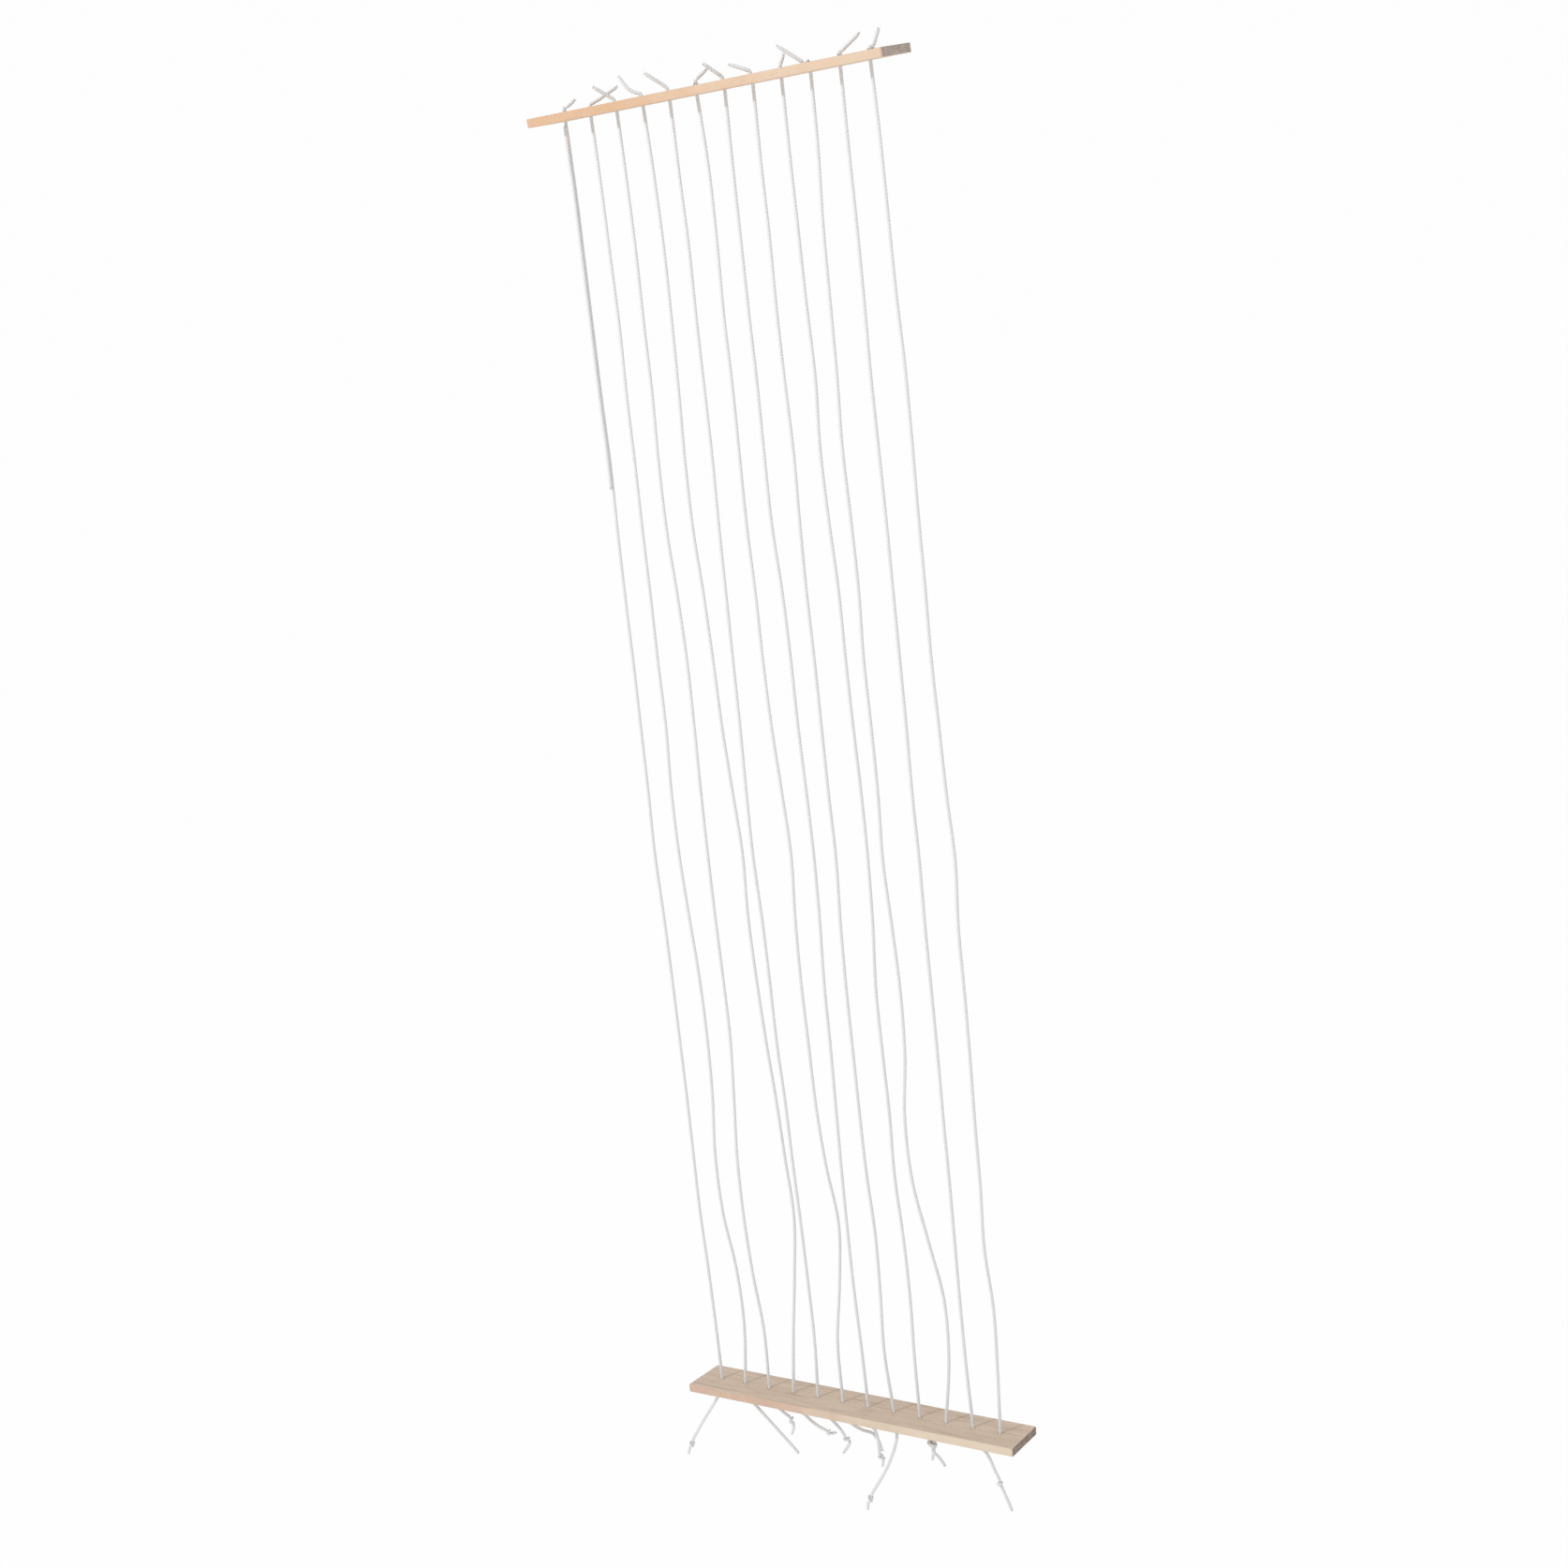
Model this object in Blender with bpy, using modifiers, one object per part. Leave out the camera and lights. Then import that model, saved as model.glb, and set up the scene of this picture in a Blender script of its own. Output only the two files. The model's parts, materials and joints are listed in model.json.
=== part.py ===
"""Hanging loom: two drilled laths joined by twelve warp cords.

Metres, +Z up. +X runs along the laths, -Y is the front. The origin is the middle of the top
lath's back edge, where the loom is fastened. The bottom lath hangs on the cords.
"""
import math

import bmesh
import bpy
from mathutils import Matrix, Vector

# ---- driving sizes -------------------------------------------------------------------------
LATH_LENGTH = 0.330
LATH_WIDTH = 0.050
LATH_THICKNESS = 0.007
EDGE_ROUND = 0.0006          # eased edges of the laths
LEFT_MARGIN = 0.021          # left end of a lath to the first hole
RIGHT_MARGIN = 0.023         # last hole to the right end
CORD_COUNT = 12
CORD_DIAMETER = 0.003
HOLE_CLEARANCE = 0.0007      # how much wider a hole is than its cord
DROP = 1.140                 # middle of the top lath to the middle of the bottom lath
TOP_ROLL = math.radians(8.3)       # top lath, back edge up
BOTTOM_ROLL = math.radians(-6.5)   # bottom lath, back edge down
DRIFT_ANGLE = math.radians(32.0)   # the level direction in which the cords wander, from +X to +Y
JOINT_GAP = 0.0003           # air between pieces that would touch
STRAND_LENGTH = 0.300        # the second strand beside the first cord

HOLE_SIDES = 16
SPAN_STEPS = 30              # straight pieces in each hanging cord
KNOT_WIDTH = 1.6             # a knot's width, in cord diameters
KNOT_LENGTH = 1.35           # a knot's length, in cord diameters
BEND_CORD = 6                # the cord whose ends bend both ways
STRAND_START = 1.1           # how far under its pivot the second strand starts, in cord diameters
STRAND_ANGLE = math.radians(26)  # how far to the left of straight in front of its cord it hangs
STRAND_STEPS = 8             # straight pieces in the second strand
TIP_WIDTH = 0.9              # a loose end's tip, in cord diameters
TIED_PAIR = (9, 10)          # the two loose ends tied to each other under the bottom lath

CORD_RADIUS = CORD_DIAMETER / 2
HOLE_DIAMETER = CORD_DIAMETER + HOLE_CLEARANCE
HOLE_PITCH = (LATH_LENGTH - LEFT_MARGIN - RIGHT_MARGIN) / (CORD_COUNT - 1)
PIVOT_STANDOFF = CORD_RADIUS + JOINT_GAP
KNOT_REACH = KNOT_LENGTH * CORD_DIAMETER / 2
TIED_SPREAD = KNOT_WIDTH * CORD_DIAMETER + JOINT_GAP     # between the tied pair's two knots
MM = 0.001

DRIFT = Vector((math.cos(DRIFT_ANGLE), math.sin(DRIFT_ANGLE), 0))
DEPTH = Vector((-math.sin(DRIFT_ANGLE), math.cos(DRIFT_ANGLE), 0))
UP = Vector((0, 0, 1))

TOP_NORMAL = Vector((0, -math.sin(TOP_ROLL), math.cos(TOP_ROLL)))
TOP_ACROSS = Vector((0, math.cos(TOP_ROLL), math.sin(TOP_ROLL)))
BOTTOM_NORMAL = Vector((0, -math.sin(BOTTOM_ROLL), math.cos(BOTTOM_ROLL)))
TOP_CENTRE = TOP_ACROSS * (-LATH_WIDTH / 2)
BOTTOM_CENTRE = TOP_CENTRE - UP * DROP

# How far each hanging cord wanders from the straight line between its two holes, in
# millimetres along DRIFT, at equal steps down from the top hole to the bottom hole.
SPAN_DRIFT = {
    1: (1, 1, 1, 1, 1.5, 0.5, 0, 0, -0.5, -1, -2, -1, -0.5, -0.5, -0.5, -1, -1.5, -0.5, 0),
    2: (1, 1.5, 2, 1, 1, 0.5, 0.5, 0, 0, -2, -2, 0, 2.5, 3, 1.5, -2.5, -2, 4, 5),
    3: (1, 1.5, 1, 1, -0.5, -0.5, 2, 3.5, 3, 2, 1.5, 1.5, 2, 2, -1, -4.5, -5, -3, 1),
    4: (2, 3, 2.5, 1.5, 0, 0, 2.5, 4, 5, 7.5, 10, 8.5, 9.5, 11.5, 14.5, 16.5, 18.5, 13, 6),
    5: (0.5, 1.5, 1, 1, 1, 0, -0.5, -1, -1.5, -2.5, -3, -1.5, -1, -1, 0.5, 1, 2, 2.5, 2.5),
    6: (2.5, 2.5, 1.5, 2, 1.5, 1, 2, 2, 3, 5.5, 7.5, 5, 4, 4.5, 5, 8, 13.5, 8.5, 1),
    7: (-0.5, -0.5, -0.5, 0, -0.5, -0.5, 2, 3, 3, 4, 4.5, 3.5, 1.5, 1, 0, -1, -1.5, -1.5, -0.5),
    8: (-0.5, 0, -0.5, 0, 1, 0, -0.5, 0, 0, 0, 0.5, -1.5, -2.5, -2.5, -2.5, -2, 0, -1, -3),
    9: (0, 0.5, 1, 2, 0, 1, 3, 3, 3.5, 4.5, 4.5, 3, 0, 0, 0.5, -0.5, 1.5, 2, 0.5),
    10: (-0.5, -2.5, -3, -3.5, -5, -4, -3.5, -5, -4.5, -4.5, -6, -4, -2.5, -4, -9.5, -8.5, 0, 8.5, 7.5),
    11: (0, 0.5, 0.5, 0, 0.5, 1, 1, 1, 1, 0.5, 1, 0.5, 0.5, 0.5, 0, 0, -0.5, -1, -1),
    12: (1.5, 2, 2.5, 4, 4, 3.5, 3.5, 3, 4, 5, 7, 4.5, 4.5, 4, 3, 2.5, 1, 4, 2.5),
}

# The loose ends above the top lath: millimetres along DRIFT, along DEPTH and up, from the
# hole's mouth in the lath's top face.
UPPER_ROUTE = {
    1: ((1.4, 0, 5.4), (5, -1, 7.7), (10.8, -2, 8.8)),
    2: ((1.2, 0.3, 2), (4.5, 0.8, 3.6), (9, 1.5, 5.6), (14.3, 2.4, 8.7), (25, 4, 14.2)),
    3: ((-1, 0.3, 2.2), (-3.5, 0, 4.2), (-8, -1, 7.3), (-16.2, -3, 13)),
    4: ((-0.6, 0.2, 2.2), (-3.4, 0.6, 3.4), (-8.2, 1.6, 6), (-12.8, 2.8, 11.4), (-16.5, 4, 18.1)),
    5: ((-0.8, 0, 2.5), (-3.8, 0, 5.4), (-9.5, -1, 9.6), (-17.3, -2, 15.4)),
    6: ((0.5, 0, 5), (2.5, 0, 7), (6, 1, 9.3), (10.5, 2, 12)),
    7: ((-0.8, 0, 2.5), (-3.5, -1, 4.8), (-8.6, -2, 8.8), (-14.3, -4, 13.3)),
    8: ((-1, 0, 2.2), (-4, 0, 3.9), (-8.5, 1, 6), (-16.5, 3, 9.5)),
    9: ((0.6, 0, 2.5), (2, 1, 5.4), (4.3, 3, 10.8)),
    10: ((-0.5, 0, 5), (-4, 0, 7), (-11, 1, 10), (-23, 2, 14.6)),
    11: ((0.8, 0, 5), (3.5, -1, 7.3), (9, -2, 10), (16.8, -5, 14.2)),
    12: ((1, 0, 5.4), (3, 1, 8.2), (5.6, 2, 11), (9.2, 3, 15.2)),
}
UPPER_KNOTS = (1, 6, 10, 11, 12)     # knotted on top of the lath

# The loose ends below the bottom lath, from the hole's mouth in its underside. After their
# first point, the tied pair's points are from the middle between their two mouths, and they
# stand half of TIED_SPREAD to either side of what is listed.
LOWER_ROUTE = {
    1: ((-0.5, 0, -5.5), (-6.5, 1, -13), (-19, 3, -31), (-29, 4, -46), (-36, 3, -57), (-40, 2, -67)),
    2: ((1, 0, -5.5), (8, -1, -17), (25, -3, -42), (42, -5, -67)),
    3: ((1, 0, -5.5), (7, -1, -14), (13, -1, -21), (18, 0, -27), (18.5, 1, -35), (16, 1, -43)),
    4: ((1, 0, -5.5), (7, 1, -15.5), (15, 2, -26), (23, 3, -34), (29, 3, -38), (35, 2, -39)),
    5: ((1.5, 0, -5.5), (8, -2, -12.5), (14, -3, -20), (19, -4, -28), (22, -4, -36), (18, -4, -49)),
    6: ((1, 0, -5.5), (7, 0, -16), (16, 1, -23.5), (24, 2, -28), (29, 2, -37), (31, 2, -47)),
    7: ((1, 0, -5.5), (4, 1, -16), (6, 2, -27), (6, 3, -37), (6.5, 3, -45), (7.5, 3, -54)),
    8: ((0.3, 0, -5.5), (1, -1, -15), (-1.5, -2, -24), (-6, -4, -34), (-12, -5, -45),
        (-21, -6, -58), (-29, -6, -70), (-32, -6, -81)),
    9: ((1, -1, -5.5), (-4.5, 1.9, -13), (-3.5, -0.3, -19), (-2.5, 0.9, -25), (-1.2, 2.9, -33)),
    10: ((-1, 1, -5.5), (1, -2.4, -10.5), (-4, -0.7, -17), (-1, -0.9, -23.5), (4.5, -2.9, -37)),
    11: ((1.5, 0, -5.5), (10, 1, -19), (15.5, 2, -36), (20, 3, -51), (24, 4, -66), (28, 5, -80)),
    12: ((-0.3, 0, -5.5), (0, 1, -11.5)),
}
LOWER_KNOT_AT = {1: 4, 3: 3, 4: 4, 5: 4, 7: 4, 8: 6, 9: 2, 10: 2, 11: 3}   # route point in a knot

COLOURS = {
    "pale_wood": ((0.78, 0.60, 0.43, 1.0), 0.62),
    "white_cotton": ((0.88, 0.88, 0.86, 1.0), 0.85),
}


# ---- scene ---------------------------------------------------------------------------------
def clear_scene():
    for old in list(bpy.data.objects):
        bpy.data.objects.remove(old, do_unlink=True)


def new_collection(name):
    made = bpy.data.collections.new(name)
    bpy.context.scene.collection.children.link(made)
    return made


def new_material(node_name, look):
    """A Principled material of the node's own, in one of the loom's two looks."""
    colour, roughness = COLOURS[look]
    made = bpy.data.materials.new(f"{look}_{node_name}")
    made.use_nodes = True
    shader = made.node_tree.nodes["Principled BSDF"]
    shader.inputs["Base Color"].default_value = colour
    shader.inputs["Roughness"].default_value = roughness
    shader.inputs["Metallic"].default_value = 0.0
    return made


def new_empty(name, place):
    made = bpy.data.objects.new(name, None)
    made.empty_display_size = 0.02
    made.location = place
    PARTS.objects.link(made)
    return made


# ---- places --------------------------------------------------------------------------------
def hole_x(number):
    return -LATH_LENGTH / 2 + LEFT_MARGIN + (number - 1) * HOLE_PITCH


def top_mouth(number):
    """Middle of a hole in the top lath's top face."""
    return TOP_CENTRE + TOP_NORMAL * (LATH_THICKNESS / 2) + Vector((hole_x(number), 0, 0))


def bottom_mouth(number):
    """Middle of a hole in the bottom lath's underside."""
    return BOTTOM_CENTRE - BOTTOM_NORMAL * (LATH_THICKNESS / 2) + Vector((hole_x(number), 0, 0))


def top_pivot(number):
    """The point just under the top lath about which a cord bends."""
    reach = LATH_THICKNESS / 2 + PIVOT_STANDOFF
    return TOP_CENTRE - TOP_NORMAL * reach + Vector((hole_x(number), 0, 0))


def bottom_pivot(number):
    """The point just above the bottom lath about which a cord bends."""
    reach = LATH_THICKNESS / 2 + PIVOT_STANDOFF
    return BOTTOM_CENTRE + BOTTOM_NORMAL * reach + Vector((hole_x(number), 0, 0))


def offset_point(start, offset):
    """The point that lies offset from start: millimetres along DRIFT, along DEPTH and up."""
    along, across, up = offset
    return start + (DRIFT * along + DEPTH * across + UP * up) * MM


def lower_points(number):
    """A lower loose end's own points. The tied pair keep half a knot's width on either side."""
    mouth = bottom_mouth(number)
    points = [offset_point(mouth, offset) for offset in LOWER_ROUTE[number]]
    if number in TIED_PAIR:
        left, right = TIED_PAIR
        middle = (bottom_mouth(left) + bottom_mouth(right)) / 2
        aside = DRIFT * (TIED_SPREAD / 2 if number == right else -TIED_SPREAD / 2)
        points[1:] = [offset_point(middle, offset) + aside for offset in LOWER_ROUTE[number][1:]]
    return points


# ---- laths ---------------------------------------------------------------------------------
def hole_cutter(name):
    """One guide body with a round rod through every hole, in the lath's own axes."""
    mesh = bpy.data.meshes.new(name)
    shape = bmesh.new()
    for number in range(1, CORD_COUNT + 1):
        bmesh.ops.create_cone(
            shape, cap_ends=True, segments=HOLE_SIDES,
            radius1=HOLE_DIAMETER / 2, radius2=HOLE_DIAMETER / 2, depth=LATH_THICKNESS * 3,
            matrix=Matrix.Translation((hole_x(number), 0, 0)),
        )
    shape.to_mesh(mesh)
    shape.free()
    made = bpy.data.objects.new(name, mesh)
    made.hide_render = True
    made.display_type = "WIRE"
    CUTTERS.objects.link(made)
    return made


def lath(name, place, roll, parent=None):
    """A flat bar with eased edges and a row of holes, turned about its length by roll."""
    mesh = bpy.data.meshes.new(name)
    shape = bmesh.new()
    size = Matrix.Diagonal((LATH_LENGTH, LATH_WIDTH, LATH_THICKNESS, 1))
    bmesh.ops.create_cube(shape, size=1, matrix=size)
    shape.to_mesh(mesh)
    shape.free()
    made = bpy.data.objects.new(name, mesh)
    PARTS.objects.link(made)
    cutter = hole_cutter(f"{name}_holes")
    for piece in (made, cutter):
        piece.parent = parent
        piece.location = place
        piece.rotation_euler = (roll, 0, 0)
    bevel = made.modifiers.new("eased_edges", "BEVEL")
    bevel.width = EDGE_ROUND
    bevel.segments = 2
    holes = made.modifiers.new("holes", "BOOLEAN")
    holes.operation = "DIFFERENCE"
    holes.solver = "EXACT"
    holes.object = cutter
    made.data.materials.append(new_material(name, "pale_wood"))
    return made


# ---- cords ---------------------------------------------------------------------------------
def smooth_point(points, place):
    """A point on the Catmull-Rom curve through points; place counts route points from 0."""
    last = len(points) - 1
    index = min(int(place), last - 1)
    t = place - index
    before = points[index - 1] if index > 0 else points[0] * 2 - points[1]
    after = points[index + 2] if index + 2 <= last else points[last] * 2 - points[last - 1]
    start, end = points[index], points[index + 1]
    return 0.5 * (
        2 * start + (end - before) * t
        + (2 * before - 5 * start + 4 * end - after) * t ** 2
        + (3 * start - before - 3 * end + after) * t ** 3
    )


def tube(name, origin, rings, parent=None):
    """A plain cord: a bevelled curve through rings of (point, width), width 1 being the cord's."""
    curve = bpy.data.curves.new(name, "CURVE")
    curve.dimensions = "3D"
    curve.bevel_depth = CORD_RADIUS
    curve.bevel_resolution = 2
    curve.use_fill_caps = True
    spline = curve.splines.new("POLY")
    spline.points.add(len(rings) - 1)
    for slot, (point, width) in zip(spline.points, rings):
        slot.co = (*(point - origin), 1)
        slot.radius = width
    made = bpy.data.objects.new(name, curve)
    made.parent = parent
    made.location = origin - parent.location if parent else origin
    made.data.materials.append(new_material(name, "white_cotton"))
    PARTS.objects.link(made)
    return made


def dome(centre, outward):
    """Rings of a half ball that closes a cord's end, from its tip to its widest ring."""
    rings = []
    for latitude in (72, 42, 16):
        angle = math.radians(latitude)
        rings.append((centre + outward * CORD_RADIUS * math.sin(angle), math.cos(angle)))
    return rings


def span_route(number):
    """The hanging cord's own points, from its top pivot to its bottom pivot."""
    start, end = top_pivot(number), bottom_pivot(number)
    drift = (0, *SPAN_DRIFT[number], 0)
    steps = len(drift) - 1
    return [start.lerp(end, i / steps) + DRIFT * (offset * MM) for i, offset in enumerate(drift)]


def hanging_cord(number):
    """A cord between the laths: domed at its pivots, or flat where a bend piece sits there."""
    route = span_route(number)
    places = [i * (len(route) - 1) / SPAN_STEPS for i in range(SPAN_STEPS + 1)]
    body = [(smooth_point(route, place), 1.0) for place in places]
    down = (body[1][0] - body[0][0]).normalized()
    up = (body[-2][0] - body[-1][0]).normalized()
    if number == BEND_CORD:
        body[0] = (body[0][0] + down * PIVOT_STANDOFF, 1.0)
        body[-1] = (body[-1][0] + up * PIVOT_STANDOFF, 1.0)
        rings = body
    else:
        rings = dome(route[0], -down) + body + dome(route[-1], -up)[::-1]
    return tube(f"cord_{number:02d}", top_pivot(number), rings)


def beside_cord(number, length):
    """The second strand that hangs against a cord, a cord's width in front of it and a little left."""
    route = span_route(number)
    step = DROP / (len(route) - 1)
    ahead = -DEPTH * math.cos(STRAND_ANGLE) - DRIFT * math.sin(STRAND_ANGLE)
    side = ahead * (CORD_DIAMETER + JOINT_GAP)
    first = CORD_DIAMETER * STRAND_START / step
    last = length / step
    centres = [
        smooth_point(route, first + (last - first) * i / STRAND_STEPS) + side
        for i in range(STRAND_STEPS + 1)
    ]
    down = (centres[1] - centres[0]).normalized()
    rings = dome(centres[0], -down) + [(c, 1.0) for c in centres]
    return tube(f"cord_{number:02d}_strand", top_pivot(number), rings)


def bend(name, place, parent=None):
    """The short ball-shaped bend of a cord at a pivot."""
    mesh = bpy.data.meshes.new(name)
    shape = bmesh.new()
    bmesh.ops.create_uvsphere(shape, u_segments=12, v_segments=8, radius=CORD_RADIUS)
    shape.to_mesh(mesh)
    shape.free()
    mesh.shade_smooth()
    made = bpy.data.objects.new(name, mesh)
    made.parent = parent
    made.location = place - parent.location if parent else place
    made.data.materials.append(new_material(name, "white_cotton"))
    PARTS.objects.link(made)
    return made


def knot_rings(centre, axis, width=KNOT_WIDTH):
    """Rings of a knot: the cord swells like an egg around centre and closes in again."""
    rings = []
    for share in (-0.96, -0.6, 0.0, 0.6, 0.96):
        swell = max(1.0, width * math.sqrt(1 - share ** 2))
        rings.append((centre + axis * KNOT_REACH * share, swell))
    return rings


def loose_end(name, mouth, outward, points, stopper, knot_at=None, parent=None):
    """A cord's end: through the lath's hole, past a stopper knot if there is one, and out
    through points. knot_at names the point that lies in a second knot, counted from 0."""
    inner = mouth - outward * LATH_THICKNESS
    rings = [(inner, 1.0), (mouth, 1.0)]
    if stopper:
        rings += knot_rings(mouth + outward * (KNOT_REACH + JOINT_GAP), outward)
    route = [mouth] + points
    for index in range(1, len(route)):
        if knot_at is not None and index == knot_at + 1:
            before = smooth_point(route, index - 0.12)
            axis = (route[index] - before).normalized()
            rings += knot_rings(route[index], axis)
        elif index == len(route) - 1:
            rings.append((route[index], TIP_WIDTH))
        else:
            rings.append((route[index], 1.0))
        if index < len(route) - 1:
            gap = (route[index + 1] - route[index]).length
            near_knot = knot_at is not None and index in (knot_at, knot_at + 1)
            if gap > 2.5 * CORD_DIAMETER and not near_knot:
                rings.append((smooth_point(route, index + 0.5), 1.0))
    return tube(name, mouth, rings, parent)


# ---- the loom ------------------------------------------------------------------------------
clear_scene()
PARTS = new_collection("hanging_loom")
CUTTERS = new_collection("cutters")

bottom_hanger = new_empty("bottom_lath_axis", bottom_pivot(BEND_CORD))

lath("top_lath", TOP_CENTRE, TOP_ROLL)
lath("bottom_lath", BOTTOM_CENTRE - bottom_hanger.location, BOTTOM_ROLL, bottom_hanger)

for cord_number in range(1, CORD_COUNT + 1):
    hanging_cord(cord_number)
    upper_points = [offset_point(top_mouth(cord_number), o) for o in UPPER_ROUTE[cord_number]]
    loose_end(
        f"upper_tail_{cord_number:02d}", top_mouth(cord_number), TOP_NORMAL,
        upper_points, stopper=cord_number in UPPER_KNOTS,
    )
    loose_end(
        f"lower_tail_{cord_number:02d}", bottom_mouth(cord_number), -BOTTOM_NORMAL,
        lower_points(cord_number), stopper=True,
        knot_at=LOWER_KNOT_AT.get(cord_number), parent=bottom_hanger,
    )

beside_cord(1, STRAND_LENGTH)
bend(f"upper_bend_{BEND_CORD:02d}", top_pivot(BEND_CORD))
bend(f"lower_bend_{BEND_CORD:02d}", bottom_pivot(BEND_CORD), bottom_hanger)
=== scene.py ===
"""A hanging loom: two drilled laths, twelve cotton warp cords between them, and their loose ends."""
import json

import bpy
import numpy as np
from mathutils import Matrix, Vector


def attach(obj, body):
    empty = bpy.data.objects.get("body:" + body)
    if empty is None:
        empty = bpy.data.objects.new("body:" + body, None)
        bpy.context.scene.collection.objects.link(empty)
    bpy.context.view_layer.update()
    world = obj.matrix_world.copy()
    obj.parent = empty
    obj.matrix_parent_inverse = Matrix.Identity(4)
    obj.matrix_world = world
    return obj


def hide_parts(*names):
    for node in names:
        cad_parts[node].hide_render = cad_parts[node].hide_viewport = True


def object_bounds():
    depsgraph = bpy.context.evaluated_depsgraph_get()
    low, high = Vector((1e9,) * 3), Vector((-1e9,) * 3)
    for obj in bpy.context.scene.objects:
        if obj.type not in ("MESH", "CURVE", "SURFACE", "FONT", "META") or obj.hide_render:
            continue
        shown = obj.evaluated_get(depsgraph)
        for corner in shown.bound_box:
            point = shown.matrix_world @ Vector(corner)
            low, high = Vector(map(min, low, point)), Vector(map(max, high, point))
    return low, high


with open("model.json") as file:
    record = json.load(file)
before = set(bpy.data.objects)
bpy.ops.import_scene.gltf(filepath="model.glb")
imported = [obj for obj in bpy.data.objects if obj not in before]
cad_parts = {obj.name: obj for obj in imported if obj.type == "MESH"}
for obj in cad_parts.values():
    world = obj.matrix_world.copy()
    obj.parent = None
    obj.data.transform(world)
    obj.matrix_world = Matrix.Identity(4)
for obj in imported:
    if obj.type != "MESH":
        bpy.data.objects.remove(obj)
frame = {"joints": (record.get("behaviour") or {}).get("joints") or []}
cad_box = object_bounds()

# ---- top lath ------------------------------------------------------------------------------
# A planed beech lath, sawn to length and drilled through with twelve holes. Its long edges are
# eased with a little sandpaper. It is the piece that is fastened, and its front edge hangs a
# little lower than its back edge.
LATH_LENGTH = 0.330
LATH_WIDTH = 0.050
LATH_THICKNESS = 0.007
EDGE_ROUND = 0.0007
CORNER_ROUND = 0.0008
CORD_COUNT = 12
CORD_DIAMETER = 0.003
HOLE_DIAMETER = 0.0037
RIM_EASE = 0.00035           # how far a hole's rim is broken
RIM_STEPS = ((0.3, 0.3), (0.0, 0.99))    # the rim's rings: how far out and how low, in RIM_EASE
RING_SHARES = (0.3, 0.62, 0.86, 1.0)     # how far each ring has gone from square to circle
SQUARES_PER_PITCH = 24       # the grid's squares from one hole to the next
HOLE_WINDOW = 4              # squares each way that a hole's rings stand in for
EDGE_STEPS = 4               # faces round an eased edge
SIDE_STEPS = 7               # faces between the two eased edges
TOP_ROLL = np.radians(8.3)
JOINT_GAP = 0.0003
PIVOT_STANDOFF = CORD_DIAMETER / 2 + JOINT_GAP
MARK_WAVES = 7
PLANER_WAVE = 0.00003        # height of the marks that planing leaves
PLANER_ACROSS, PLANER_ALONG = (250, 1500), (-14, 14)     # radians a metre
SAW_WAVE = 0.00009           # roughness of the sawn ends
SAW_DEEP, SAW_ACROSS = (1500, 5200), (-900, 900)         # radians a metre
FACE_SKIN = 0.0004           # how deep the planing marks reach down the edges
MARK_FADE = 0.0003           # how fast the marks fade in

pivots = {joint["name"]: np.array(joint["pos_m"]) for joint in frame["joints"]}
top_pivots = {n: pivots[f"cord_sway_{n:02d}" if n != 6 else "warp_sway"] for n in range(1, CORD_COUNT + 1)}
hole_xs = np.array([top_pivots[n][0] for n in sorted(top_pivots)])
HOLE_PITCH = hole_xs[1] - hole_xs[0]


def roll_axes(roll):
    """Rows: a lath's own three directions. Across is (0, cos, sin) and its normal (0, -sin, cos)."""
    return np.array([[1, 0, 0], [0, np.cos(roll), np.sin(roll)], [0, -np.sin(roll), np.cos(roll)]])


def make_mesh(name, points, quads, tris, quad_uv=None, tri_uv=None):
    """A mesh from whole arrays: points, four-cornered and three-cornered faces, and their UVs."""
    corners = np.concatenate([quads.ravel(), tris.ravel()]).astype(np.int32)
    counts = np.concatenate([np.full(len(quads), 4), np.full(len(tris), 3)]).astype(np.int32)
    mesh = bpy.data.meshes.new(name)
    mesh.vertices.add(len(points))
    mesh.vertices.foreach_set("co", points.astype(np.float32).ravel())
    mesh.loops.add(len(corners))
    mesh.loops.foreach_set("vertex_index", corners)
    mesh.polygons.add(len(counts))
    mesh.polygons.foreach_set("loop_start", np.concatenate([[0], np.cumsum(counts)[:-1]]).astype(np.int32))
    mesh.polygons.foreach_set("loop_total", counts)
    mesh.polygons.foreach_set("use_smooth", np.ones(len(counts), bool))
    if quad_uv is not None:
        layer = mesh.uv_layers.new(name="lay")
        flat = np.concatenate([quad_uv.reshape(-1, 2), tri_uv.reshape(-1, 2)])
        layer.data.foreach_set("uv", flat.astype(np.float32).ravel())
    mesh.update(calc_edges=True)
    mesh.validate()
    made = bpy.data.objects.new(name, mesh)
    bpy.context.scene.collection.objects.link(made)
    return made


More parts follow.
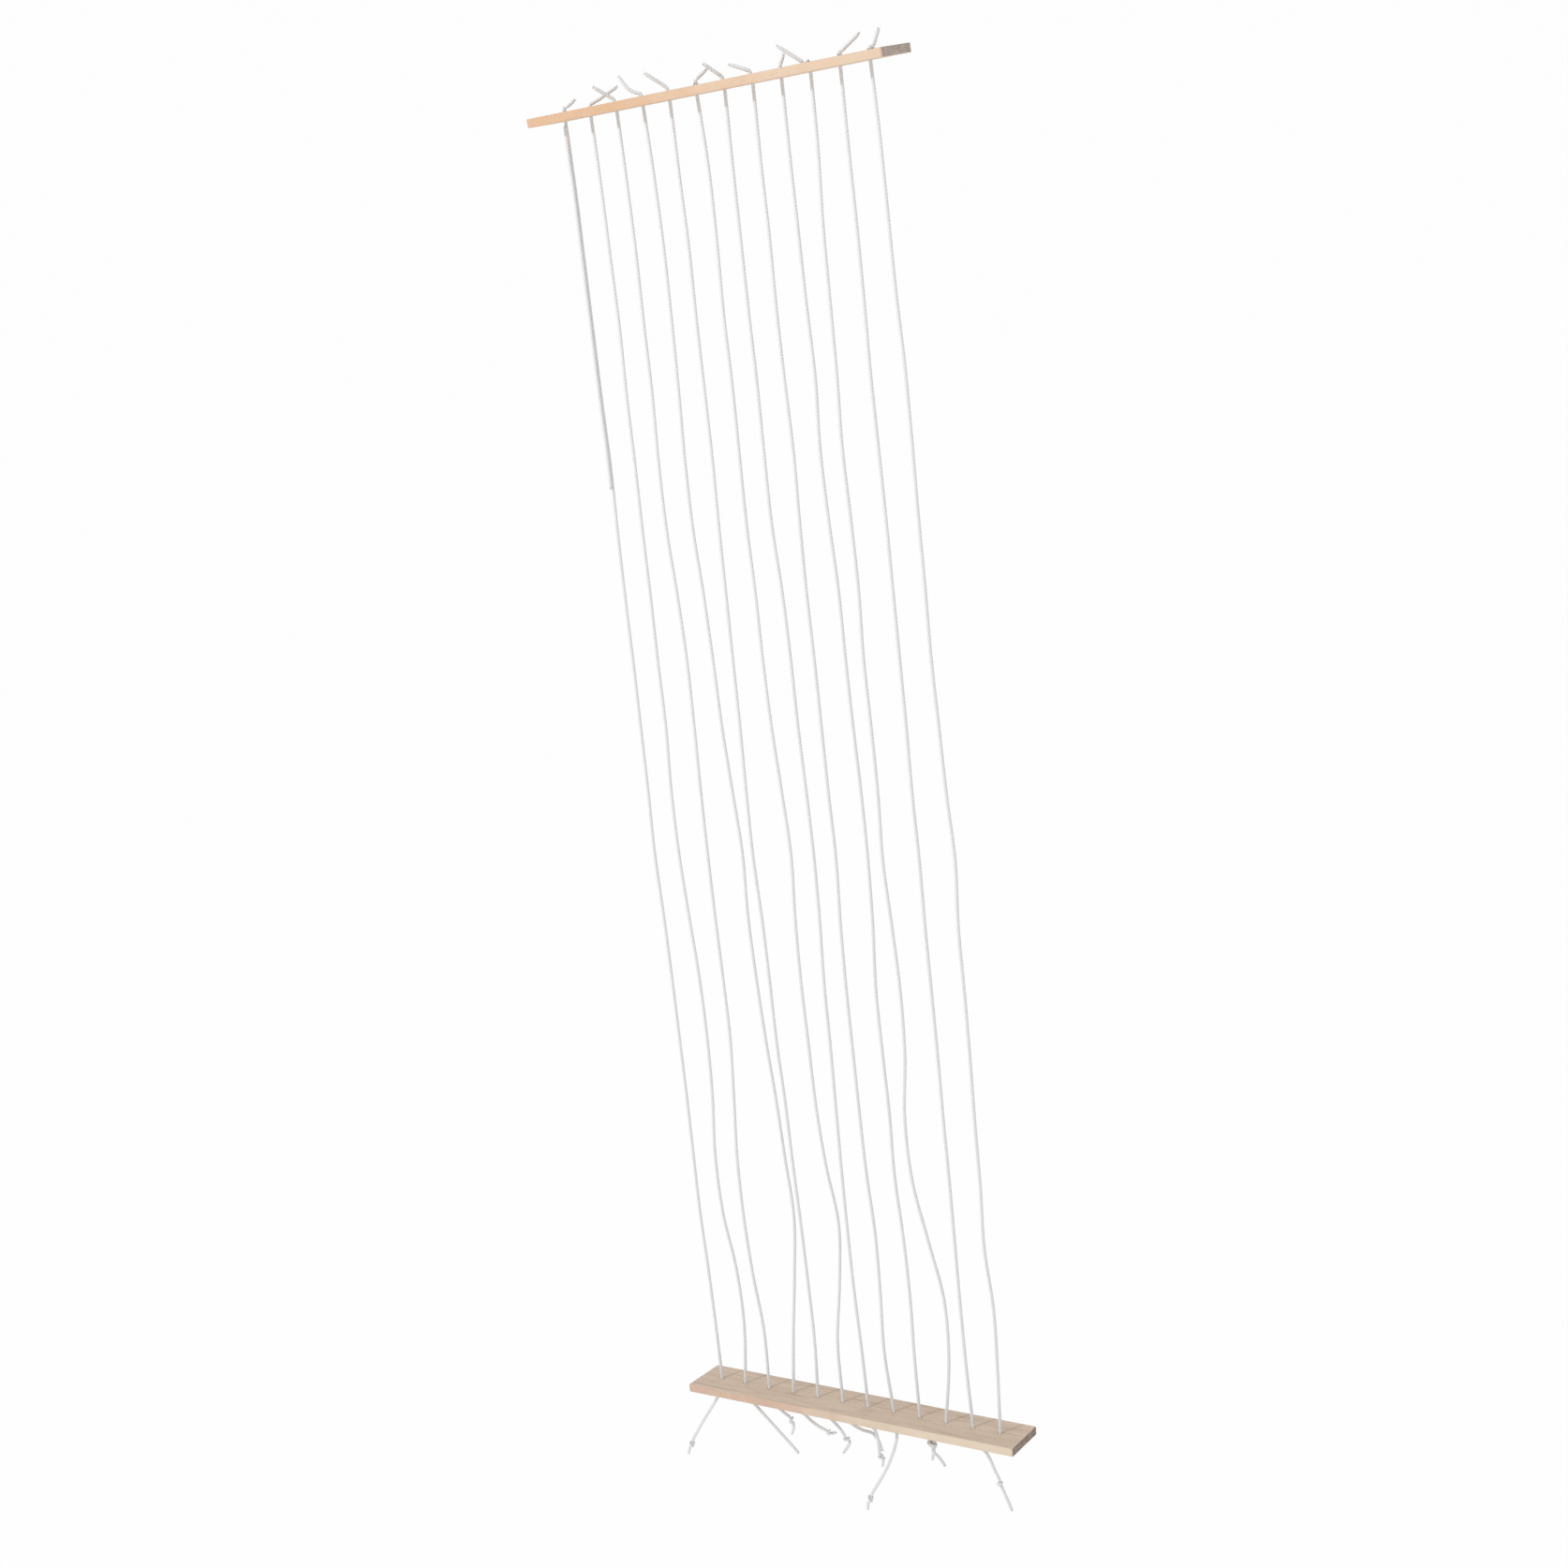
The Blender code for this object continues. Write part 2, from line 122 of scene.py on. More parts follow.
def lath_surface():
    """A drilled lath about the origin, as points and faces.

    The top is a square grid. Around each hole the grid's squares give way to rings that pass
    from the square of grid corners to the hole's circle: ring = (1 - t) * square + t * circle.
    Round the outside, the border loop is carried outwards by EDGE_ROUND * sin(a) and down by
    EDGE_ROUND * (1 - cos(a)), to the same loop of the underside, which mirrors the top.
    """
    step = HOLE_PITCH / SQUARES_PER_PITCH
    inner_length, inner_width = LATH_LENGTH - 2 * EDGE_ROUND, LATH_WIDTH - 2 * EDGE_ROUND
    left = hole_xs[0] - step * np.floor((hole_xs[0] + inner_length / 2) / step - 0.5)
    right = hole_xs[-1] + step * np.floor((inner_length / 2 - hole_xs[-1]) / step - 0.5)
    middle = np.arange(round((right - left) / step) + 1) * step + left
    xs = np.concatenate([[-inner_length / 2], middle, [inner_length / 2]])
    rows = int(inner_width / 2 / step - 0.5)
    ys = np.concatenate([[-inner_width / 2], np.arange(-rows, rows + 1) * step, [inner_width / 2]])
    nx, ny = len(xs), len(ys)
    grid_x, grid_y = np.meshgrid(xs, ys, indexing="ij")
    number = np.arange(nx * ny).reshape(nx, ny)
    cells = np.stack([number[:-1, :-1], number[1:, :-1], number[1:, 1:], number[:-1, 1:]], axis=-1)
    keep = np.ones((nx - 1, ny - 1), bool)
    centre_row = rows + 1
    face_points = [np.stack([grid_x.ravel(), grid_y.ravel(), np.zeros(nx * ny)], axis=1)]
    face_quads, hole_loops = [], []
    total = nx * ny
    window = HOLE_WINDOW
    turn = np.arange(8 * window)
    side, along = turn // (2 * window), turn % (2 * window) - window
    ring_i = np.select([side == 0, side == 1, side == 2], [along, window, -along], -window)
    ring_j = np.select([side == 0, side == 1, side == 2], [-window, along, window], -along)
    angle = np.arctan2(ring_j, ring_i)
    circle = np.stack([np.cos(angle), np.sin(angle), 0 * angle], axis=1)
    for hole_x in hole_xs:
        column = int(np.argmin(abs(xs - hole_x)))
        keep[column - window:column + window, centre_row - window:centre_row + window] = False
        outer = number[column + ring_i, centre_row + ring_j]
        square = face_points[0][outer] - (hole_x, 0, 0)
        rim = circle * (HOLE_DIAMETER / 2 + RIM_EASE)
        rings = [square * (1 - share) + rim * share for share in RING_SHARES]
        for out, low in RIM_STEPS:
            rings.append(circle * (HOLE_DIAMETER / 2 + RIM_EASE * out) - (0, 0, RIM_EASE * low))
        loops = [outer]
        for ring in rings:
            loops.append(np.arange(total, total + len(turn)))
            face_points.append(ring + (hole_x, 0, 0))
            total += len(turn)
        for a, b in zip(loops[:-1], loops[1:]):
            face_quads.append(np.stack([a, np.roll(a, -1), np.roll(b, -1), b], axis=1))
        hole_loops.append(loops[-1])
    face_quads.append(cells[keep])
    face_quads = np.concatenate(face_quads)
    face_points = np.concatenate(face_points)

    border = np.concatenate([number[:-1, 0], number[-1, :-1], number[:0:-1, -1], number[0, :0:-1]])
    xy = face_points[border, :2]
    corner = np.array([inner_length, inner_width]) / 2 - CORNER_ROUND
    past = np.clip(abs(xy) - corner, 0, None)
    reach = np.maximum(past.max(axis=1), 1e-9)
    length = np.maximum(np.linalg.norm(past, axis=1), 1e-9)
    rounded = np.sign(xy) * (np.minimum(abs(xy), corner) + past * (reach / length)[:, None])
    both = (past > 0).all(axis=1)
    face_points[border[both], :2] = rounded[both]
    ahead = np.roll(face_points[border, :2], -1, axis=0) - np.roll(face_points[border, :2], 1, axis=0)
    outward = np.stack([ahead[:, 1], -ahead[:, 0]], axis=1)
    outward /= np.linalg.norm(outward, axis=1)[:, None]

    half = LATH_THICKNESS / 2
    top = face_points + (0, 0, half)
    under = face_points * (1, 1, -1) - (0, 0, half)
    under_quads = face_quads[:, ::-1] + total
    points, quads = [top, under], [face_quads, under_quads]
    count = 2 * total
    bend = np.linspace(0, np.pi / 2, EDGE_STEPS + 1)[1:]
    levels = [(EDGE_ROUND * np.sin(a), half - EDGE_ROUND * (1 - np.cos(a))) for a in bend]
    side_zs = np.linspace(half - EDGE_ROUND, -half + EDGE_ROUND, SIDE_STEPS + 1)[1:-1]
    levels += [(EDGE_ROUND, z) for z in side_zs]
    levels += [(out, -z) for out, z in levels[:len(bend)][::-1]]
    loops = [border]
    for out, z in levels:
        ring = np.column_stack([face_points[border, :2] + outward * out, np.full(len(border), z)])
        points.append(ring)
        loops.append(np.arange(count, count + len(border)))
        count += len(border)
    loops.append(border + total)
    for a, b in zip(loops[:-1], loops[1:]):
        quads.append(np.stack([a, b, np.roll(b, -1), np.roll(a, -1)], axis=1))
    for loop in hole_loops:
        low = loop + total
        quads.append(np.stack([loop, np.roll(loop, -1), np.roll(low, -1), low], axis=1))
    return np.concatenate(points), np.concatenate(quads)


def lath_piece(name, centre, roll, seed):
    """A lath with planing and saw marks, turned and put in its place.

    Planing: z moves by a sum of long low waves along the grain. Sawing: the ends move along X by
    short waves across the end.
    """
    points, quads = lath_surface()
    x, y, z = points.T
    rng = np.random.default_rng(seed)
    face = np.clip((abs(z) - LATH_THICKNESS / 2 + FACE_SKIN) / MARK_FADE, 0, 1) * np.sign(z)
    end = np.clip((abs(x) - LATH_LENGTH / 2 + MARK_FADE) / MARK_FADE, 0, 1) * np.sign(x)
    wave, teeth = np.zeros(len(x)), np.zeros(len(x))
    for _ in range(MARK_WAVES):
        across, along, phase = rng.uniform(*PLANER_ACROSS), rng.uniform(*PLANER_ALONG), rng.uniform(0, 6.3)
        wave += np.sin(across * y + along * x + phase) / MARK_WAVES
        teeth += np.sin(rng.uniform(*SAW_DEEP) * z + rng.uniform(*SAW_ACROSS) * y + phase) / MARK_WAVES
    points = points + np.stack([end * teeth * SAW_WAVE * 2, 0 * x, face * wave * PLANER_WAVE * 2], axis=1)
    return make_mesh(name, centre + points @ roll_axes(roll), quads, np.zeros((0, 3), int))


class Shade:
    """A socket of a material's nodes. Arithmetic on it adds Math nodes."""

    def __init__(self, tree, socket):
        self.tree, self.socket = tree, socket

    def node(self, kind, settings, inputs, output=0):
        """Adds any node: settings first, then a value or a link for each input. Gives an output."""
        made = self.tree.nodes.new(kind)
        for key, value in settings.items():
            if key == "stops":
                ramp = made.color_ramp.elements
                for index, (place, colour) in enumerate(value):
                    stop = ramp[index] if index < 2 else ramp.new(place)
                    stop.position, stop.color = place, (*colour, 1.0)
            else:
                setattr(made, key, value)
        for key, value in inputs.items():
            if isinstance(value, Shade):
                self.tree.links.new(value.socket, made.inputs[key])
            else:
                made.inputs[key].default_value = value
        return Shade(self.tree, made.outputs[output])

    def math(self, operation, first, second=0.0):
        return self.node("ShaderNodeMath", {"operation": operation}, {0: first, 1: second})

    def __add__(self, other):
        return self.math("ADD", self, other)

    __radd__ = __add__

    def __sub__(self, other):
        return self.math("SUBTRACT", self, other)

    def __rsub__(self, other):
        return self.math("SUBTRACT", other, self)

    def __mul__(self, other):
        return self.math("MULTIPLY", self, other)

    __rmul__ = __mul__

    def __pow__(self, other):
        return self.math("POWER", self, other)

    def size(self):
        return self.math("ABSOLUTE", self)

    def from_to(self, low, high):
        """0 below low, 1 above high, and a smooth rise between."""
        return self.node(
            "ShaderNodeMapRange", {"interpolation_type": "SMOOTHSTEP"},
            {"Value": self, "From Min": low, "From Max": high},
        )

    def blend(self, here, there):
        """The colour here where this is 0 and there where it is 1."""
        return self.node("ShaderNodeMix", {"data_type": "RGBA"}, {0: self, 6: here, 7: there}, 2)

    def stretched(self, sizes):
        """A place times a size for each direction."""
        return self.node("ShaderNodeVectorMath", {"operation": "MULTIPLY"}, {0: self, 1: sizes})

    def noise(self, detail=2.0, roughness=0.5, distortion=0.0):
        return self.node(
            "ShaderNodeTexNoise", {}, {
                "Vector": self, "Scale": 1.0, "Detail": detail, "Roughness": roughness,
                "Distortion": distortion,
            },
        )

    def parts(self):
        split = self.node("ShaderNodeSeparateXYZ", {}, {0: self})
        return [Shade(self.tree, socket) for socket in split.socket.node.outputs]


def new_material(name):
    """A material, its Principled shader and an empty Shade of its nodes, from which new nodes are made."""
    made = bpy.data.materials.new(name)
    made.use_nodes = True
    tree = made.node_tree
    shader = tree.nodes["Principled BSDF"]
    start = Shade(tree, None)
    return made, shader, start


FLECK_COLOUR = (0.30, 0.19, 0.12, 1)
EDGE_FADE = (0.0006, 0.0002)     # how deep the long edges' colours begin, and are whole
END_FADE = (0.0007, 0.0003)      # the same for the sawn ends'
PITH = (0, 0.006, -0.055)        # where the middle of the tree ran, from the middle of the lath


def beech(name, centre, roll, face_colours, edge_colours, end_colours):
    """Planed beech. Long fibres and short dark flecks on the faces and edges, rings and open
    pores on the sawn ends. The lath's own axes come from its place and its roll."""
    made, shader, start = new_material(name)
    origin = roll_axes(roll) @ centre
    place = start.node("ShaderNodeTexCoord", {}, {}, "Object")
    own = start.node(
        "ShaderNodeMapping", {},
        {"Vector": place, "Location": tuple(-origin), "Rotation": (-roll, 0, 0)},
    )
    x, y, _ = own.parts()
    fibres = own.stretched((14, 420, 420)).noise(5.0, 0.62, 0.4)
    bands = own.stretched((5, 60, 90)).noise(3.0, 0.55, 0.8)
    dashes = own.stretched((190, 1500, 1500)).noise(1.0, 0.5)
    fleck = dashes.from_to(0.60, 0.70) * own.stretched((30, 90, 90)).noise(1.0).from_to(0.38, 0.6)
    streak = own.stretched((24, 360, 360)).noise(3.0, 0.55, 0.3).from_to(0.53, 0.66)
    grain = (fibres * 0.45 + bands * 0.55 + streak * 0.30 - 0.06).from_to(0.25, 0.85)
    face = grain.blend(*face_colours)
    cloud = own.stretched((17, 30, 30)).noise(3.0, 0.6)
    heart = (x * 2.0 + cloud * 1.1 + fibres * 0.25).from_to(0.40, 0.95)
    edge = heart.blend(*edge_colours)
    on_edge = y.size().from_to(LATH_WIDTH / 2 - EDGE_FADE[0], LATH_WIDTH / 2 - EDGE_FADE[1])
    long_grain = on_edge.blend(face, edge)
    long_grain = (fleck * (1 - on_edge * 0.5) * 0.34).blend(long_grain, FLECK_COLOUR)
    pith = own.node("ShaderNodeVectorMath", {"operation": "SUBTRACT"}, {0: own, 1: PITH})
    flat = pith.stretched((0, 1, 1))
    radius = own.node("ShaderNodeVectorMath", {"operation": "LENGTH"}, {0: flat}, "Value")
    wobble = own.stretched((0, 260, 260)).noise(2.0)
    rings = start.math("SINE", radius * 3300 + wobble * 4.0) * 0.5 + 0.5
    pores = own.stretched((260, 1250, 1250)).noise(4.0, 0.7)
    patches = own.stretched((60, 150, 210)).noise(2.0, 0.6)
    sawn = (pores * 0.9 + rings * 0.22 + patches * 0.7 - 0.42).from_to(0.2, 0.8)
    end_grain = sawn.blend(*end_colours)
    on_end = x.size().from_to(LATH_LENGTH / 2 - END_FADE[0], LATH_LENGTH / 2 - END_FADE[1])
    colour = on_end.blend(long_grain, end_grain)
    start.tree.links.new(colour.socket, shader.inputs["Base Color"])
    rough = 0.58 + fibres * 0.16 + on_end * 0.16
    start.tree.links.new(rough.socket, shader.inputs["Roughness"])
    height = fibres * 0.5 + streak * -0.35 + on_end * pores * 1.4 - fleck * 0.4
    bump = start.node(
        "ShaderNodeBump", {}, {"Height": height, "Strength": 0.55, "Distance": 0.00022}, "Normal",
    )
    start.tree.links.new(bump.socket, shader.inputs["Normal"])
    shader.inputs["Specular IOR Level"].default_value = 0.35
    return made


def lath_reach(pivot, roll, way):
    """The middle of the lath whose hole a cord leaves at pivot, on the side that way says."""
    place = pivot + roll_axes(roll)[2] * way * (LATH_THICKNESS / 2 + PIVOT_STANDOFF)
    return place * (0, 1, 1)


top_centre = lath_reach(top_pivots[1], TOP_ROLL, 1)
top_lath = lath_piece("planed_top_lath", top_centre, TOP_ROLL, 3)
top_lath.data.materials.append(beech(
    "top_beech", top_centre, TOP_ROLL,
    face_colours=((0.72, 0.55, 0.40, 1), (0.60, 0.43, 0.29, 1)),
    edge_colours=((0.64, 0.415, 0.26, 1), (0.68, 0.515, 0.38, 1)),
    end_colours=((0.31, 0.25, 0.21, 1), (0.56, 0.47, 0.41, 1)),
))
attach(top_lath, "frame")
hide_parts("top_lath")

# ---- bottom lath ---------------------------------------------------------------------------
# The second lath, cut from the same board and drilled with the same jig. It hangs on the cords
# and keeps them spread. Its back edge hangs a little lower than its front edge.
BOTTOM_ROLL = np.radians(-6.5)
bottom_pivot_6 = pivots["lath_level"]
bottom_pivots = {n: bottom_pivot_6 + (top_pivots[n] - top_pivots[6]) for n in top_pivots}
bottom_centre = lath_reach(bottom_pivots[1], BOTTOM_ROLL, -1)
bottom_lath = lath_piece("planed_bottom_lath", bottom_centre, BOTTOM_ROLL, 8)
bottom_lath.data.materials.append(beech(
    "bottom_beech", bottom_centre, BOTTOM_ROLL,
    face_colours=((0.66, 0.525, 0.41, 1), (0.50, 0.385, 0.295, 1)),
    edge_colours=((0.59, 0.42, 0.32, 1), (0.70, 0.585, 0.455, 1)),
    end_colours=((0.15, 0.11, 0.088, 1), (0.41, 0.32, 0.265, 1)),
))
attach(bottom_lath, "lower_lath")
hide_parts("bottom_lath")

# ---- hanging cords -------------------------------------------------------------------------
# Twelve lengths of soft three-ply cotton cord, 3 mm thick, threaded through both laths. They
# were wound on a card before, so each keeps some lazy waves of its own.
CORD_RADIUS = CORD_DIAMETER / 2
PLIES = 3
LAY_LENGTH = 0.0085          # one whole turn of the plies
PLY_OFFSET = 0.26            # how far a ply's middle is from the cord's, in cord radii
CORD_SIDES = 18
SPAN_STATION = 0.00085       # from one ring of a hanging cord's mesh to the next
END_STATION = 0.00045        # the same on a loose end
YARNS_PER_PLY = 5
YARN_LAY = 0.0021            # one whole turn of a ply's yarns
DRIFT_ANGLE = np.radians(32)
DRIFT = np.array([np.cos(DRIFT_ANGLE), np.sin(DRIFT_ANGLE), 0])
DEPTH = np.array([-np.sin(DRIFT_ANGLE), np.cos(DRIFT_ANGLE), 0])
MM = 0.001

# Millimetres along DRIFT off the straight line between a cord's two pivots, at equal steps down.
SPAN_DRIFT = {
    1: (1, 1, 1, 1, 1.5, 0.5, 0, 0, -0.5, -1, -2, -1, -0.5, -0.5, -0.5, -1, -1.5, -0.5, 0),
    2: (1, 1.5, 2, 1, 1, 0.5, 0.5, 0, 0, -2, -2, 0, 2.5, 3, 1.5, -2.5, -2, 4, 5),
    3: (1, 1.5, 1, 1, -0.5, -0.5, 2, 3.5, 3, 2, 1.5, 1.5, 2, 2, -1, -4.5, -5, -3, 1),
    4: (2, 3, 2.5, 1.5, 0, 0, 2.5, 4, 5, 7.5, 10, 8.5, 9.5, 11.5, 14.5, 16.5, 18.5, 13, 6),
    5: (0.5, 1.5, 1, 1, 1, 0, -0.5, -1, -1.5, -2.5, -3, -1.5, -1, -1, 0.5, 1, 2, 2.5, 2.5),
    6: (2.5, 2.5, 1.5, 2, 1.5, 1, 2, 2, 3, 5.5, 7.5, 5, 4, 4.5, 5, 8, 13.5, 8.5, 1),
    7: (-0.5, -0.5, -0.5, 0, -0.5, -0.5, 2, 3, 3, 4, 4.5, 3.5, 1.5, 1, 0, -1, -1.5, -1.5, -0.5),
    8: (-0.5, 0, -0.5, 0, 1, 0, -0.5, 0, 0, 0, 0.5, -1.5, -2.5, -2.5, -2.5, -2, 0, -1, -3),
    9: (0, 0.5, 1, 2, 0, 1, 3, 3, 3.5, 4.5, 4.5, 3, 0, 0, 0.5, -0.5, 1.5, 2, 0.5),
    10: (-0.5, -2.5, -3, -3.5, -5, -4, -3.5, -5, -4.5, -4.5, -6, -4, -2.5, -4, -9.5, -8.5, 0, 8.5, 7.5),
    11: (0, 0.5, 0.5, 0, 0.5, 1, 1, 1, 1, 0.5, 1, 0.5, 0.5, 0.5, 0, 0, -0.5, -1, -1),
    12: (1.5, 2, 2.5, 4, 4, 3.5, 3.5, 3, 4, 5, 7, 4.5, 4.5, 4, 3, 2.5, 1, 4, 2.5),
}


def smooth_line(points, spacing, widths=None):
    """Even stations along a smooth line through points, with the width at each.

    Between two points the line is a cubic with the slopes of the parabolas through each point
    and its two neighbours, and the distance between points as its parameter. The width changes
    over two stations, beside the narrower point.
    """
    points = np.asarray(points, float)
    widths = np.ones(len(points)) if widths is None else np.asarray(widths, float)
    gaps = np.maximum(np.linalg.norm(np.diff(points, axis=0), axis=1), 1e-7)
    slopes = np.diff(points, axis=0) / gaps[:, None]
    knots = np.concatenate([[0], np.cumsum(gaps)])
    before, after = gaps[:-1, None], gaps[1:, None]
    inner = (after * slopes[:-1] + before * slopes[1:]) / (before + after)
    slope = np.concatenate([slopes[:1], inner, slopes[-1:]])

    def at(place):
        index = np.clip(np.searchsorted(knots, place, "right") - 1, 0, len(gaps) - 1)
        gap = gaps[index][:, None]
        t = (place - knots[index])[:, None] / gap
        return (
            points[index] * (2 * t**3 - 3 * t**2 + 1) + slope[index] * gap * (t**3 - 2 * t**2 + t)
            + points[index + 1] * (3 * t**2 - 2 * t**3) + slope[index + 1] * gap * (t**3 - t**2)
        )

    fine = np.linspace(0, knots[-1], max(40, int(knots[-1] / spacing) * 3))
    run = np.concatenate([[0], np.cumsum(np.linalg.norm(np.diff(at(fine), axis=0), axis=1))])
    stations = np.linspace(0, run[-1], max(3, int(round(run[-1] / spacing)) + 1))
    place = np.interp(stations, run, fine)
    change = np.where(np.diff(widths) > 0, knots[:-1], knots[1:] - 2 * spacing)
    passed = np.clip((place[:, None] - change) / (2 * spacing), 0, 1)
    return at(place), widths[0] + passed @ np.diff(widths)


def line_length(line):
    return float(np.linalg.norm(np.diff(line, axis=0), axis=1).sum())


def along_and_side(line):
    """A line's direction at each station, and a side direction carried along it without turning."""
    ahead = np.gradient(line, axis=0)
    ahead /= np.linalg.norm(ahead, axis=1)[:, None]
    side = np.empty_like(ahead)
    guess = DRIFT if abs(ahead[0] @ DRIFT) < 0.8 else DEPTH
    for index, forward in enumerate(ahead):
        guess = guess - forward * (guess @ forward)
        guess = guess / np.linalg.norm(guess)
        side[index] = guess
    return ahead, side


def tube(line, radii, sides=CORD_SIDES, plies=PLIES, lay=LAY_LENGTH, first_turn=0.0):
    """A cord's surface along line: points, faces and UVs.

    A ring's point is line + radius * shape(a) * (cos(a + twist) * side + sin(a + twist) * up),
    where twist grows by a whole turn for each lay and side is carried along without turning.
    shape is the outline of plies round bodies laid together. Both ends are domes.
    """
    dome = np.radians([78, 58, 38, 18])
    start, end = line[0] - line[1], line[-1] - line[-2]
    start, end = start / np.linalg.norm(start), end / np.linalg.norm(end)
    head = line[0] + start * radii[0] * np.sin(dome)[:, None]
    tail = (line[-1] + end * radii[-1] * np.sin(dome)[:, None])[::-1]
    centres = np.concatenate([head, line, tail])
    radius = np.concatenate([radii[0] * np.cos(dome), radii, (radii[-1] * np.cos(dome))[::-1]])
    ahead, side = along_and_side(centres)
    up = np.cross(ahead, side)
    run = np.concatenate([[0], np.cumsum(np.linalg.norm(np.diff(centres, axis=0), axis=1))])
    a = np.arange(sides) * 2 * np.pi / sides
    off = (a * plies / (2 * np.pi) + 0.5) % 1 - 0.5
    off = off * 2 * np.pi / plies
    ply = 1 - PLY_OFFSET
    outline = PLY_OFFSET * np.cos(off) + np.sqrt(ply**2 - (PLY_OFFSET * np.sin(off)) ** 2)
    shape = outline if plies > 1 else 1 + 0 * a
    turned = a[None, :] + (run / lay * 2 * np.pi + first_turn)[:, None]
    reach = radius[:, None] * shape[None, :]
    rings = centres[:, None] + reach[..., None] * (
        np.cos(turned)[..., None] * side[:, None] + np.sin(turned)[..., None] * up[:, None]
    )
    count = len(centres)
    number = np.arange(count * sides).reshape(count, sides)
    nxt = np.roll(number, -1, axis=1)
    quads = np.stack([number[:-1], nxt[:-1], nxt[1:], number[1:]], axis=-1).reshape(-1, 4)
    poles = np.array([centres[0] + start * radii[0] * 0.02, centres[-1] + end * radii[-1] * 0.02])
    first, last = count * sides, count * sides + 1
    tris = np.concatenate([
        np.stack([nxt[0], number[0], np.full(sides, first)], axis=1),
        np.stack([number[-1], nxt[-1], np.full(sides, last)], axis=1),
    ])
    u = np.arange(sides) / sides
    around = np.stack([u, u + 1 / sides, u + 1 / sides, u], axis=-1)
    corner_u = np.broadcast_to(around, (count - 1, sides, 4))
    low, high = run[:-1, None], run[1:, None]
    corner_v = np.stack(np.broadcast_arrays(low, low, high, high), axis=-1) + np.zeros((1, sides, 1))
    quad_uv = np.stack([corner_u, corner_v], axis=-1).reshape(-1, 4, 2)
    tri_uv = np.zeros((2 * sides, 3, 2))
    tri_uv[:, :, 0] = np.tile(u, 2)[:, None]
    tri_uv[sides:, :, 1] = run[-1]
    return np.concatenate([rings.reshape(-1, 3), poles]), quads, tris, quad_uv, tri_uv


def join(name, surfaces):
    """One mesh of several closed surfaces."""
    starts = np.cumsum([0] + [len(s[0]) for s in surfaces[:-1]])
    return make_mesh(
        name, np.concatenate([s[0] for s in surfaces]),
        np.concatenate([s[1] + start for s, start in zip(surfaces, starts)]),
        np.concatenate([s[2] + start for s, start in zip(surfaces, starts)]),
        np.concatenate([s[3] for s in surfaces]), np.concatenate([s[4] for s in surfaces]),
    )


def cotton(name):
    """White cotton. u goes once round the plies and v along the cord in metres, so the grooves
    between plies follow the mesh's own twist, and the fine yarns are stripes at a slant to them.
    The grooves and the hollows between the yarns are painted darker and cooler: painted shade."""
    made, shader, start = new_material(name)
    lay = start.node("ShaderNodeUVMap", {"uv_map": "lay"}, {})
    u, v, _ = lay.parts()
    across = start.math("FRACT", u * PLIES + 0.5)
    # Painted shade: the grooves between the plies are darker and cooler in the colour, and lower in the
    # bump.
    groove_dip_and_shade = ((across - 0.5).size() * 2) ** 4
    slant = u * (PLIES * YARNS_PER_PLY * 2 * np.pi) + v * (2 * np.pi / YARN_LAY)
    yarns = start.math("SINE", slant) * 0.5 + 0.5
    place = start.node("ShaderNodeTexCoord", {}, {}, "Object")
    fuzz = place.stretched((2600, 2600, 2600)).noise(3.0, 0.7)
    soil = place.stretched((40, 40, 25)).noise(2.0)
    # The colour mixes painted shade in the ply grooves and, a little, in the hollows between the yarns,
    # with fuzz and soil as random tone.
    tone_and_painted_shade = (groove_dip_and_shade * 0.40 + (1 - yarns) * 0.10 + fuzz * 0.10 + soil * 0.16 - 0.08)
    colour = tone_and_painted_shade.blend((0.80, 0.803, 0.81, 1), (0.58, 0.585, 0.60, 1))
    start.tree.links.new(colour.socket, shader.inputs["Base Color"])
    height = yarns * 0.6 + fuzz * 0.7 - groove_dip_and_shade * 0.5
    bump = start.node(
        "ShaderNodeBump", {}, {"Height": height, "Strength": 0.6, "Distance": 0.00012}, "Normal",
    )
    start.tree.links.new(bump.socket, shader.inputs["Normal"])
    shader.inputs["Roughness"].default_value = 0.92
    shader.inputs["Specular IOR Level"].default_value = 0.2
    return made


cord_cotton = cotton("white_cotton")


def cord_piece(name, body, surfaces, *stands_for):
    """A cotton piece: its mesh, its finish, the body that it moves with, the nodes that it replaces."""
    made = join(name, surfaces)
    made.data.materials.append(cord_cotton)
    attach(made, body)
    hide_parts(*stands_for)
    return made


def span_points(number):
    """A hanging cord's own points: the straight line between its pivots, moved along DRIFT."""
    drift = np.array((0, *SPAN_DRIFT[number], 0)) * MM
    share = np.linspace(0, 1, len(drift))[:, None]
    straight = top_pivots[number] * (1 - share) + bottom_pivots[number] * share
    return straight + drift[:, None] * DRIFT


spans, hanging = {}, {}
for number in range(1, CORD_COUNT + 1):
    line, width = smooth_line(span_points(number), SPAN_STATION)
    hanging[number] = cord_piece(
        f"warp_{number:02d}", f"warp_cord_{number:02d}",
        [tube(line, width * CORD_RADIUS, first_turn=number)], f"cord_{number:02d}",
    )
    spans[number] = line

